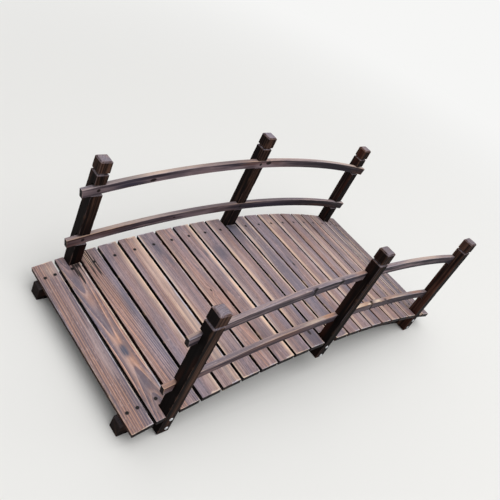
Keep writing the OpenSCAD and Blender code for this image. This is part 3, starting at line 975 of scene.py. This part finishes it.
def makePost(node, seed):
    low, high = boxOf(node)
    middle = (low + high) / 2
    middleX, half = middle[0], posts["side"] / 2
    sideY = np.sign(middle[1])
    innerY, outerY = middle[1] - sideY * half, middle[1] + sideY * half
    foot, top = low[2], high[2]
    lip = top - posts["head"]
    valley, lower = lip - posts["groove wide"] / 2, lip - posts["groove wide"]
    shoulder = top - posts["chamfer"]
    r = posts["lip round"]
    extra = [z + r * k for z in (lower, valley, lip, shoulder) for k in (-2.2, -1, -0.5, 0, 0.5, 1, 2.2)]
    along, inset = stationsFor(foot, top, posts["step along"], posts["end round"], extra)
    profileZ = [foot, lower, valley, lip, shoulder, top]
    profileW = [half, half, half - posts["groove deep"], half, half, half - posts["chamfer"]]
    widths = sum(np.interp(np.clip(along + shift * r, foot, top), profileZ, profileW)
                 for shift in (-1, -0.5, 0, 0.5, 1)) / 5
    corners, chipped = wornCorners(seed, along, (posts["arris"],) * 4, 9)
    corners += posts["head wear"] * softStep(along, lip, top)[:, None]

    def dip(section, place, facing):
        spots = section[:, :, 0] * 40 + section[:, :, 1] * 17
        return posts["ripple"] * (1 + softNoise(seed + 4, place * 26, spots)) * 0.5

    def place(u, v, s):
        return together(u + middleX, v + middle[1], s)

    steps = int(2 * half / posts["step round"])
    piece = loftTimber(node + "_timber", along, inset, widths, widths, corners, chipped,
                       (4, steps, steps), dip, place)
    cutters = []
    for railNode in ("rail_upper_near", "rail_lower_near"):
        railLow, railHigh = boxOf(railNode)
        under = railArc(railHigh[2], arch["rail radius"] - arch["rail depth"], abs(middleX) + half)
        over = railArc(railHigh[2], arch["rail radius"], max(0, abs(middleX) - half))
        lowY, highY = sorted((innerY - sideY * 0.02, innerY + sideY * (railHigh[1] - railLow[1])))
        cutters.append({"box": ((middleX - 0.05, lowY, under - posts["housing slack"]),
                                (middleX + 0.05, highY, over + posts["housing slack"]))})
    cutAway(piece, cutters)
    points = pointsOf(piece)
    x, y, z = points.T
    local, near, far = points - middle, high - points, points - low
    edge = np.min([np.abs(z - line) for line in (lower, lip, shoulder)], axis=0)
    edge = np.where(z > top - 0.0012, half - posts["chamfer"] - np.abs(local[:, :2]).max(1), edge)
    look = dict(plainBoard, **dict(dict(wear=(0.6, 0.6), figure=0.8), **postLooks[node]))
    offMiddle, *depths = look.get("bolts", fixings["bolts"])
    boltX = middleX + offMiddle
    bolts = together(x - boltX, x - boltX, farOff)
    for below in depths:
        boltZ = deckTop(middleX) - below
        nearer = np.abs(z - boltZ) < np.abs(bolts[:, 2])
        bolts[nearer, 2] = z[nearer] - boltZ
        boltPlaces.append(((boltX, outerY, boltZ), (0, sideY, 0)))
    bolts[np.abs(y - outerY) > 0.003, 2] = farOff
    outer, inner = (far, near) if sideY < 0 else (near, far)
    faceWays = together(far[:, 0], outer[:, 1], near[:, 0], inner[:, 1])
    railUnder = boxOf("rail_lower_near")[1][2] - arch["rail depth"]
    railUnder -= 0.9 * (arch["rail radius"] - math.sqrt(arch["rail radius"] ** 2 - middleX ** 2))
    # Painted shadow: the inner face is darkened below the lower rail, where its shadow falls
    paintedRailShadow = softStep(railUnder - z, *posts["painted shadow under rail"]) * (faceWays[:, 3] < 0.002)
    shelter = np.choose(faceWays.argmin(1), look["shelter"]) + look.get("paintedRailShadow", 0) * paintedRailShadow
    shelter = shelter - 0.6 * softStep(z, lower, lip)
    wearAndSheenShare = 0.75 + 0.45 * softStep(z, top - 0.012, top - 0.003)
    # Each head top is made darker by the amount given for its post
    look["dark"] = (*look.get("dark", ()), (0, top - middle[2], 0.1, 0.004, look.get("headTopDarkening", 0)))
    markTimber(piece, local, near, far, look, seed, bolts, np.abs(edge), shelter, wearAndSheenShare)
    finishPiece(piece, frameTimber, "frame_wood", node)


boltPlaces = []
for index, node in enumerate(postLooks):
    makePost(node, 41 + index * 3)
print("posts housed and headed")


# Starts a Geometry Nodes tree with these inputs, and hands back the way to read them
def startTree(name, inputs):
    tree = bpy.data.node_groups.new(name, "GeometryNodeTree")
    tree.interface.new_socket("Geometry", in_out="OUTPUT", socket_type="NodeSocketGeometry")
    for label, kind in inputs.items():
        tree.interface.new_socket(label, in_out="INPUT", socket_type="NodeSocket" + kind)
    t = Nodes(tree)
    return t, t.add("NodeGroupInput").other


def endTree(t, geometry, material):
    real = t.add("GeometryNodeRealizeInstances", {"Geometry": geometry})
    coated = t.add("GeometryNodeSetMaterial", {"Geometry": real, "Material": material})
    t.add("NodeGroupOutput", {"Geometry": coated})
    return t.tree


# Rails: a rounded bar swept along its arc by Geometry Nodes
def railTree():
    t, given = startTree("curvedRail", {"Radius": "Float", "Half Angle": "Float", "Depth": "Float",
                                        "Thickness": "Float", "Arris": "Float", "Station": "Float",
                                        "Wear": "Float", "Centre": "Vector", "Seed": "Float",
                                        "Material": "Material"})
    arc = t.add("GeometryNodeCurveArc", {"Resolution": 400, "Radius": given("Radius"),
                                         "Start Angle": t.calc("SUBTRACT", math.pi / 2, given("Half Angle")),
                                         "Sweep Angle": given("Half Angle") * 2}, mode="RADIUS")
    stations = t.add("GeometryNodeResampleCurve", {"Curve": arc, "Length": given("Station")}, mode="LENGTH")
    upright = t.add("GeometryNodeSetCurveNormal", {"Curve": stations}, mode="Z_UP")
    bar = t.add("GeometryNodeCurvePrimitiveQuadrilateral",
                {"Width": given("Depth"), "Height": given("Thickness")}, mode="RECTANGLE")
    eased = t.add("GeometryNodeFilletCurve", {"Curve": bar, "Count": 4, "Radius": given("Arris")},
                  mode="POLY")
    swept = t.add("GeometryNodeCurveToMesh", {"Curve": upright, "Profile Curve": eased, "Fill Caps": True})
    placed = t.add("GeometryNodeTransform", {"Geometry": swept, "Rotation": (math.pi / 2, 0, 0),
                                             "Translation": given("Centre")})
    position = t.vector("MULTIPLY", t.add("GeometryNodeInputPosition"), (22, 60, 60))
    noise = t.add("ShaderNodeTexNoise", {"Vector": position, "W": given("Seed"), "Scale": 1, "Detail": 2},
                  noise_dimensions="4D")
    inwards = t.scaled(t.add("GeometryNodeInputNormal"), noise * given("Wear") * -1)
    worn = t.add("GeometryNodeSetPosition", {"Geometry": placed, "Offset": inwards})
    return endTree(t, worn, given("Material"))


# Runs a Geometry Nodes tree on a piece with these inputs, and keeps the result as a plain mesh
def growWith(piece, tree, **inputs):
    change = piece.modifiers.new("grow", "NODES")
    change.node_group = tree
    sockets = {item.name: item.identifier for item in tree.interface.items_tree if item.in_out == "INPUT"}
    for label, value in inputs.items():
        change[sockets[label.replace("_", " ")]] = value
    settle(piece)


curvedRail = railTree()
# A knot is (x, below the top, +1 outer or -1 inner face, radius), a bite is (x, outer or inner, top or
# bottom, half width left, half width right, depth, reach, bare wood), and shelter is that of the faces at the
# left end, the middle and the right end, partly stain left in shelter and partly painted shade
railLooks = {
    "rail_upper_near": dict(pith=(0.02, -0.06), rings=0.0046, light=(0.98, -0.04, 0), warm=(-0.1, 0),
        shelter=(0, 0, 0.5), knots=((-0.256, 0.0075, 1, 0.0034),),
        bites=((-0.262, 1, 1, 0.009, 0.009, 0.0035, 0.007, 0), (-0.136, 1, -1, 0.003, 0.028, 0.004, 0.02, 0)),
        blue=((0, -0.22, 0.1, 0.06, 0.25), (-0.008, -0.102, 0.009, 0.028, 1),
        (-0.01, -0.262, 0.007, 0.012, 1)), cream=((0, 0.36, 0.1, 0.1, 0.2),),
        # Painted shadow: the strong dark marks at x -0.137 and -0.252 blacken the insides of the bites, and
        # the blue mark at -0.102 is bared wood, partly painted shade
        amber=((0, -0.04, 0.1, 0.03, 0.5),), dark=((0, 0.12, 0.1, 0.2, 0.12), (0, 0.58, 0.1, 0.2, 0.2),
        (-0.008, -0.137, 0.0095, 0.009, 2.4, 0.026, 0.0175), (-0.01, -0.252, 0.008, 0.006, 1.3))),
    "rail_lower_near": dict(pith=(-0.03, -0.04), rings=0.0044, light=(0.95, -0.08, 0), warm=(0.35, 0),
        shelter=(-0.5, -0.3, 0.9), knots=((0.3, 0.012, 1, 0.003),),
        bites=((0.187, 1, 1, 0.008, 0.012, 0.005, 0.014, 0.3), (0.145, 1, 1, 0.01, 0.012, 0.002, 0.007, 0.6),
        (0.245, 1, 1, 0.014, 0.014, 0.0025, 0.007, 0.6), (0.3, 1, 1, 0.01, 0.01, 0.0015, 0.007, 0.3)),
        blue=((0, -0.17, 0.1, 0.03, 0.4),), cream=((-0.003, -0.13, 0.004, 0.05, 0.5),
        (-0.001, 0.085, 0.006, 0.055, 1), (-0.006, 0.168, 0.005, 0.01, 1), (-0.002, 0.225, 0.006, 0.022, 1),
        (-0.006, 0.36, 0.004, 0.05, 0.7)), amber=((0, -0.055, 0.1, 0.03, 0.7), (0, -0.66, 0.1, 0.05, 0.5),
        (0, 0.14, 0.1, 0.04, 0.6), (0, 0.32, 0.1, 0.06, 0.5), (0, 0.52, 0.1, 0.05, 0.6)),
        # Painted shadow: the strong dark mark at x 0.188 blackens the inside of the bite there
        dark=((0, 0.188, 0.1, 0.008, 1.3), (-0.004, 0.272, 0.006, 0.008, 0.9), (0, 0.47, 0.1, 0.12, 0.22))),
    "rail_upper_far": dict(pith=(0.015, -0.07), rings=0.005, light=(0.98, 0.03, 0), warm=(0.1, 0),
        shelter=(-0.3, -0.8, 1.6), knots=((-0.448, 0.021, -1, 0.0062), (0.038, 0.011, -1, 0.0072)), bites=(),
        blue=((0, -0.53, 0.1, 0.055, 1), (0, -0.36, 0.1, 0.04, 0.5), (0, -0.16, 0.1, 0.05, 0.4)),
        cream=((0, 0.5, 0.1, 0.2, 0.4), (0, -0.45, 0.1, 0.16, 0.3)), dark=((0, -0.16, 0.1, 0.15, 0.5),)),
    "rail_lower_far": dict(pith=(-0.02, -0.05), rings=0.0046, light=(0.9, -0.17, 0), warm=(0.1, 0),
        shelter=(0, -0.1, 1.2), knots=((-0.3, 0.016, -1, 0.003),), bites=(), blue=((0, -0.3, 0.1, 0.12, 0.4),
        (0, 0.16, 0.1, 0.16, 0.6)), cream=((0, -0.47, 0.1, 0.15, 0.3),), dark=((0, -0.15, 0.1, 0.16, 0.58),
        (0, 0.16, 0.1, 0.16, 0.45))),
}


# Rows of vertices on the flat faces, so that marks and bites can lie on them
def splitFaces(piece, rows):
    with opened(piece.data) as shell:
        wide = [edge for edge in shell.edges if edge.calc_length() > rails["face wider than"]]
        bmesh.ops.subdivide_edges(shell, edges=wide, cuts=rows)


# Bites out of a rail's arrises, where a knot fell out or an edge was knocked off
def biteRail(piece, bites, middleY, thick, centre):
    x, y, z = pointsOf(piece).T
    sideY = np.sign(middleY)
    across = (y - middleY) * sideY
    radial, angle = np.hypot(x, z - centre), np.arctan2(x, z - centre)
    bare = np.zeros(len(x))
    for spot, outer, upper, leftWide, rightWide, deep, reach, bareWood in bites:
        edge = arch["rail radius"] - (0 if upper > 0 else arch["rail depth"])
        away = np.abs(across - outer * thick / 2) + np.abs(radial - edge)
        wide = np.where(x < spot, leftWide, rightWide)
        amount = np.exp(-np.abs((x - spot) / wide) ** 3) * softStep(1 - away / reach, 0, 0.7)
        across = across - outer * deep * 0.8 * amount
        radial = radial - upper * deep * amount
        bare = np.maximum(bare, amount * bareWood)
    points = together(radial * np.sin(angle), middleY + across * sideY, centre + radial * np.cos(angle))
    piece.data.vertices.foreach_set("co", points.ravel())
    piece.data.update()
    writeLayer(piece, "bare", bare)


def makeRail(node, seed):
    low, high = boxOf(node)
    apex, middleY, thick = high[2], (low[1] + high[1]) / 2, high[1] - low[1]
    depth, radius = arch["rail depth"], arch["rail radius"]
    endAngle = math.asin(arch["rail end"] / (radius - depth / 2))
    sideY = np.sign(middleY)
    innerY = middleY - sideY * thick / 2
    look = dict(plainBoard, wear=(0.7, 0.7), figure=0.8, **railLooks[node])
    piece = newPiece(node + "_bar")
    growWith(piece, curvedRail, Radius=radius - depth / 2, Half_Angle=endAngle, Depth=depth, Thickness=thick,
             Arris=rails["arris"], Station=rails["station"], Wear=rails["wear"],
             Centre=(0.0, middleY, apex - radius), Seed=float(seed), Material=railTimber)
    splitFaces(piece, rails["rows on a face"])
    faceOutwards(piece)
    biteRail(piece, look["bites"], middleY, thick, apex - radius)
    x, y, z = pointsOf(piece).T
    across = y - middleY
    radial, angle = np.hypot(x, z - (apex - radius)), np.arctan2(x, z - (apex - radius))
    near = together(thick / 2 - across, radius - radial, (endAngle - angle) * radius)
    far = together(thick / 2 + across, radial - radius + depth, (endAngle + angle) * radius)
    bent = rails["grain on bend"]
    height = bent * (radial - radius) + (1 - bent) * (z - apex) + rails["grain depth"]
    local = together(across, height, x)
    screws = np.full((len(x), 3), farOff)
    for end in ("left", "middle", "right"):
        postLow, postHigh = boxOf(f"post_near_{end}")
        screwX = (postLow[0] + postHigh[0]) / 2
        screwZ = railArc(apex, radius - depth / 2, screwX)
        closer = np.abs(x - screwX) < np.abs(screws[:, 0])
        screws[closer] = together(x - screwX, x - screwX, z - screwZ)[closer]
        railScrews.append(((screwX, innerY, screwZ), (0, -sideY, 0)))
    screws[np.abs(y - innerY) > 0.004] = farOff
    knots = np.full((len(x), 3), noKnots)
    for knotX, below, outer, size in look["knots"]:
        onFace = np.abs(across * sideY - outer * thick / 2) < 0.004
        closer = onFace & (np.abs(x - knotX) < np.abs(knots[:, 1]))
        knots[closer] = together(radius - radial - below, x - knotX, size)[closer]
    shelter = np.interp(x / x.max(), (-1, 0, 1), look["shelter"])
    markTimber(piece, local, near, far, look, seed, screws, farOff, shelter, 1, knots)
    finishPiece(piece, railTimber, "rail_wood", node)


railScrews = []
for index, node in enumerate(railLooks):
    makeRail(node, 61 + index * 5)
print("rails bent and let in")


# A turned shape: (radius, height) points spun round Z, closed at both ends
def turnShape(name, outline, segments):
    piece = newPiece(name)
    with opened(piece.data) as shell:
        rows = []
        for radius, height in outline:
            turns = [2 * math.pi * k / segments for k in range(segments if radius > 1e-7 else 1)]
            rows.append([shell.verts.new((radius * math.cos(turn), radius * math.sin(turn), height))
                         for turn in turns])
        for first, second in zip(rows, rows[1:]):
            for k in range(segments):
                ring = [first[k % len(first)], first[(k + 1) % len(first)],
                        second[(k + 1) % len(second)], second[k % len(second)]]
                corners = [v for i, v in enumerate(ring) if v not in ring[:i]]
                if len(corners) > 2:
                    shell.faces.new(corners)
        bmesh.ops.recalc_face_normals(shell, faces=shell.faces)
    return piece


# Sets one fixing at every point, turned so that it looks along its aim
def fixingTree():
    t, given = startTree("setFixings", {"Points": "Geometry", "Fixing": "Object", "Size": "Float",
                                        "Seed": "Int", "Material": "Material"})
    shape = t.add("GeometryNodeObjectInfo", {"Object": given("Fixing")}, "Geometry",
                  transform_space="ORIGINAL")
    aim = t.add("GeometryNodeInputNamedAttribute", {"Name": "aim"}, "Attribute", data_type="FLOAT_VECTOR")
    spin = t.add("FunctionNodeRandomValue", {2: 0, 3: 2 * math.pi, "Seed": given("Seed")}, 1,
                 data_type="FLOAT")
    turned = t.add("FunctionNodeAlignRotationToVector", {"Vector": aim}, axis="Z")
    spun = t.add("FunctionNodeAxisAngleToRotation", {"Axis": (0, 0, 1), "Angle": spin})
    both = t.add("FunctionNodeRotateRotation", {"Rotation": turned, "Rotate By": spun},
                 rotation_space="LOCAL")
    placed = t.add("GeometryNodeInstanceOnPoints", {"Points": given("Points"), "Instance": shape,
                                                    "Rotation": both, "Scale": given("Size")})
    return endTree(t, placed, given("Material"))


setFixings = fixingTree()


def placeFixings(name, shape, spots, material, slotName, seed):
    piece = newPiece(name)
    piece.data.from_pydata([tuple(map(float, spot)) for spot, _ in spots], [], [])
    writeLayer(piece, "aim", [aim for _, aim in spots])
    growWith(piece, setFixings, Fixing=shape, Size=1.0, Seed=seed, Material=material)
    finishPiece(piece, material, slotName)


# Countersunk screw head with a cross cut in it
def screwHead(radius, wide):
    head = turnShape("screwHead", [(0, -0.0018), (radius * 0.55, -0.0018), (radius * 0.95, -0.0004),
                                   (radius, -0.0001), (radius * 0.97, 0.0001), (radius * 0.75, 0.0002),
                                   (0, 0.00022)], 20)
    for halfX, halfY in ((wide / 2, radius * 0.55), (radius * 0.55, wide / 2)):
        cutAway(head, [{"box": ((-halfX, -halfY, -0.0007), (halfX, halfY, 0.001))}])
    return head


# Coach bolt: low dome with a rolled rim
def boltHead(radius, high):
    outline = [(0, -0.002), (radius * 0.5, -0.002), (radius * 0.5, 0), (radius * 0.97, 0), (radius, 0.0003)]
    for k in range(1, 8):
        turn = math.pi / 2 * k / 8
        outline.append((radius * math.cos(turn) ** 0.9, 0.0003 + (high - 0.0003) * math.sin(turn)))
    return turnShape("boltHead", outline + [(0, high)], 28)


# Washer, hexagon nut and the bolt's end, on the inside of a stringer
def nutShape(washer, nut):
    outlines = (((0, 0), (washer, 0), (washer, 0.001), (washer * 0.96, 0.0012), (0, 0.0012)),
                ((0, 0.001), (nut * 0.94, 0.001), (nut, 0.0016), (nut, 0.0052), (nut * 0.9, 0.0058),
                 (0, 0.0058)),
                ((0, 0.005), (0.003, 0.005), (0.003, 0.0086), (0.0024, 0.0094), (0, 0.0094)))
    piece = newPiece("nutShape")
    with opened(piece.data) as joined:
        for outline, segments in zip(outlines, (28, 6, 20)):
            part = turnShape("nutPart", outline, segments)
            joined.from_mesh(part.data)
            dropPiece(part)
    return piece


deckScrew = screwHead(fixings["screw head radius"], fixings["cross wide"])
coachBolt = boltHead(fixings["bolt head radius"], fixings["bolt head high"])
coachNut = nutShape(fixings["washer radius"], fixings["nut radius"])
stringerIn = boxOf("stringer_far")[0][1]
nutPlaces = [((x, math.copysign(stringerIn, y), z), (0, -sideY, 0))
             for (x, y, z), (_, sideY, _) in boltPlaces]
placeFixings("deck_screws", deckScrew, screwSpots, darkScrew, "screw_steel", 5)
placeFixings("rail_screws", deckScrew, railScrews, darkScrew, "screw_steel", 6)
placeFixings("coach_bolts", coachBolt, boltPlaces, brightZinc, "zinc_steel", 7)
placeFixings("coach_nuts", coachNut, nutPlaces, brightZinc, "zinc_steel", 8)
for shape in (deckScrew, coachBolt, coachNut):
    dropPiece(shape)
print("fixings set:", len(screwSpots), "deck screws,", len(railScrews), "rail screws,",
      len(boltPlaces), "bolts")


def makeFloor():
    side = studio["floor side"] / 2
    floor = newPiece("studioFloor")
    corners = [(-side, -side, 0), (side, -side, 0), (side, side, 0), (-side, side, 0)]
    floor.data.from_pydata(corners, [], [(0, 1, 2, 3)])
    material, t = newMaterial("paleFloor")
    shader = t.add("ShaderNodeBsdfPrincipled", {"Roughness": studio["floor roughness"],
                                                "Specular IOR Level": studio["floor gloss"],
                                                "Base Color": screenColor(*studio["floor color"])})
    # Away from the bridge the floor runs out into the white background
    away = t.vector("LENGTH", t.add("ShaderNodeTexCoord", out="Object"))
    path = t.add("ShaderNodeLightPath", out="Is Camera Ray")
    share = t.remap(away, *studio["white from"]) * path.most(path.other("Is Glossy Ray"))
    white = t.add("ShaderNodeEmission", {"Color": screenColor(*studio["background color"])})
    both = t.add("ShaderNodeMixShader", {0: share, 1: shader, 2: white})
    t.add("ShaderNodeOutputMaterial", {"Surface": both})
    floor.data.materials.append(material)


def makeLights():
    world = bpy.data.worlds.new("paleStudio")
    bpy.context.scene.world = world
    world.use_nodes = True
    t = Nodes(world.node_tree)
    path = t.add("ShaderNodeLightPath", out="Is Camera Ray")
    seen = path.most(path.other("Is Glossy Ray").most(path.other("Is Transmission Ray")))
    sky = t.add("ShaderNodeBackground", {
        "Color": t.mix(seen, studio["sky color"], screenColor(*studio["background color"])),
        "Strength": t.straight(seen, 0, 1, studio["sky strength"], 1)})
    t.add("ShaderNodeOutputWorld", {"Surface": sky})
    lamp = bpy.data.lights.new("softbox", "AREA")
    lamp.shape = "SQUARE"
    lamp.size = studio["softbox size"]
    lamp.energy = studio["softbox power"]
    box = newPiece("softbox", lamp)
    box.location = studio["softbox place"]
    aim = Vector(studio["softbox aim"]) - Vector(studio["softbox place"])
    box.rotation_euler = aim.to_track_quat("-Z", "Y").to_euler()


def makeCamera():
    lens = bpy.data.cameras.new("photoView")
    lens.lens = view["lens"]
    lens.sensor_width = view["film"]
    lens.sensor_fit = "HORIZONTAL"
    lens.clip_start, lens.clip_end = view["clip"]
    camera = newPiece("photoView", lens)
    turned = Matrix((view["right"], view["up"], view["back"])).transposed().to_4x4()
    camera.matrix_world = Matrix.Translation(Vector(view["place"])) @ turned
    bpy.context.scene.camera = camera


makeFloor()
makeLights()
makeCamera()
bpy.context.scene.view_settings.view_transform = "Standard"
print("floor, light and camera set")

print("moon bridge dressed")
